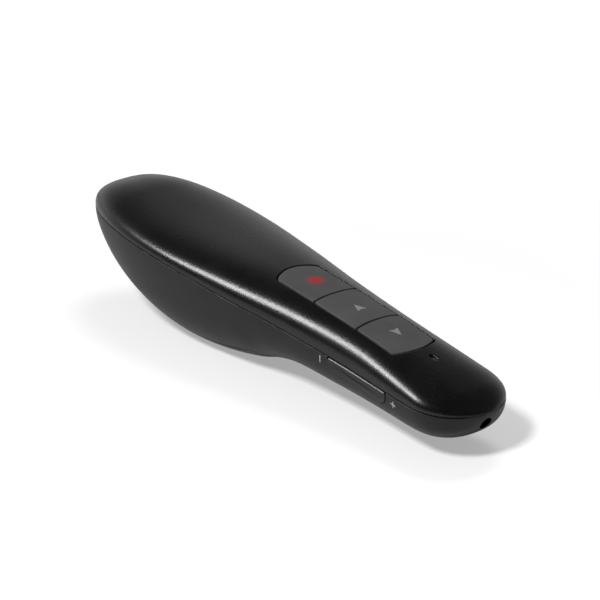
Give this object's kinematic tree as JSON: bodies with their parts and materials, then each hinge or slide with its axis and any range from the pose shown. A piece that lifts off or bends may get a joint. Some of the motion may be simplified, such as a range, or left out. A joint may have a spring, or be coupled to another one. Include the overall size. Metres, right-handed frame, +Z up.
{
  "type": "wireless presentation clicker",
  "caption": "Slim hand-held presenter with a battery bulge, three flush keys, a side volume rocker, a power slider, a nose laser and a stored receiver.",
  "frame": {"origin": "middle of the length and width, on the surface that the bulge rests on", "axes": "+X towards the laser end, +Y to the left, +Z up"},
  "size_m": [0.1402, 0.0352, 0.0309],
  "materials": {
    "cover_black": "satin black paint with a fine sparkle in it",
    "shell_black": "fine-grained matt black moulded plastic",
    "key_grey": "flat matt dark grey key caps",
    "inner_plastic": "moulded dark grey plastic",
    "silicone": "soft dark silicone",
    "board_green": "green solder mask",
    "chip_black": "moulded chip package",
    "part_tan": "small ceramic parts",
    "steel": "plain steel",
    "brass": "turned brass",
    "cream_plastic": "cream switch plastic",
    "led_yellow": "encapsulated LED",
    "clear_smoke": "clear smoked plastic",
    "lens_glass": "coated glass",
    "cell_wrap": "plain wrapped cell"
  },
  "bodies": {
    "case": {"top_cover": "cover_black", "lower_shell": "shell_black", "chassis": "inner_plastic", "chassis_screws": "steel", "board_screws": "steel", "main_board": "board_green", "radio_chip": "chip_black", "crystal_can": "steel", "chip_parts": "part_tan", "status_led": "led_yellow", "light_pipe": "clear_smoke", "key_mat": "silicone", "laser_key_switch": "steel", "page_back_switch": "steel", "page_forward_switch": "steel", "rocker_bracket": "steel", "rocker_pin": "steel", "volume_down_switch": "steel", "volume_up_switch": "steel", "power_switch": "steel", "laser_barrel": "brass", "laser_diode": "brass", "laser_lens": "lens_glass", "laser_board": "board_green", "laser_pins": "brass", "laser_clamp": "inner_plastic", "battery_left": "cell_wrap", "battery_right": "cell_wrap", "battery_springs": "steel", "rear_contacts": "steel", "front_link": "steel"},
    "laser_key": {"laser_key": "key_grey", "laser_key_plunger": "cream_plastic"},
    "page_back_key": {"page_back_key": "key_grey", "page_back_plunger": "cream_plastic"},
    "page_forward_key": {"page_forward_key": "key_grey", "page_forward_plunger": "cream_plastic"},
    "volume_rocker": {"volume_rocker": "shell_black"},
    "volume_up_plunger": {"volume_up_plunger": "cream_plastic"},
    "volume_down_plunger": {"volume_down_plunger": "cream_plastic"},
    "power_slider": {"power_knob": "shell_black", "power_lever": "cream_plastic"},
    "battery_door": {"battery_door": "shell_black"},
    "usb_receiver": {"receiver_cap": "shell_black", "receiver_plug": "steel", "receiver_tongue": "cream_plastic", "receiver_pins": "brass"}
  },
  "joints": [
    {"name": "laser_key_press", "type": "slide", "parent": "case", "child": "laser_key", "axis": [-0.1219, 0, -0.9925], "range_m": [0, 0.0003], "stiffness_N_per_m": 300, "deforming": ["key_mat"]},
    {"name": "page_back_press", "type": "slide", "parent": "case", "child": "page_back_key", "axis": [-0.1219, 0, -0.9925], "range_m": [0, 0.0003], "stiffness_N_per_m": 300},
    {"name": "page_forward_press", "type": "slide", "parent": "case", "child": "page_forward_key", "axis": [-0.1219, 0, -0.9925], "range_m": [0, 0.0003], "stiffness_N_per_m": 300},
    {"name": "volume_tilt", "type": "hinge", "parent": "case", "child": "volume_rocker", "pos_m": [0.03895, -0.00821, 0.01145], "axis": [0.1219, 0, 0.9925], "range_deg": [-1.6, 1.6], "stiffness_Nm_per_rad": 0.05},
    {"name": "volume_up_press", "type": "slide", "parent": "case", "child": "volume_up_plunger", "axis": [0, 1, 0], "range_m": [-0.0003, 0.0003]},
    {"name": "volume_down_press", "type": "slide", "parent": "case", "child": "volume_down_plunger", "axis": [0, 1, 0], "range_m": [-0.0003, 0.0003]},
    {"name": "power_slide", "type": "slide", "parent": "case", "child": "power_slider", "axis": [0.9925, 0, -0.1219], "range_m": [0, 0.002]},
    {"name": "battery_door_tilt", "type": "hinge", "parent": "case", "child": "battery_door", "pos_m": [0.001, 0, 0.0031], "axis": [0, -1, 0], "range_deg": [0, 25]},
    {"name": "receiver_pull", "type": "slide", "parent": "case", "child": "usb_receiver", "axis": [-1, 0, 0], "range_m": [0, 0.02]}
  ],
  "couplings": [
    {"joint": "volume_up_press", "follows": "volume_tilt", "m_per_rad": 0.007},
    {"joint": "volume_down_press", "follows": "volume_tilt", "m_per_rad": -0.007}
  ]
}
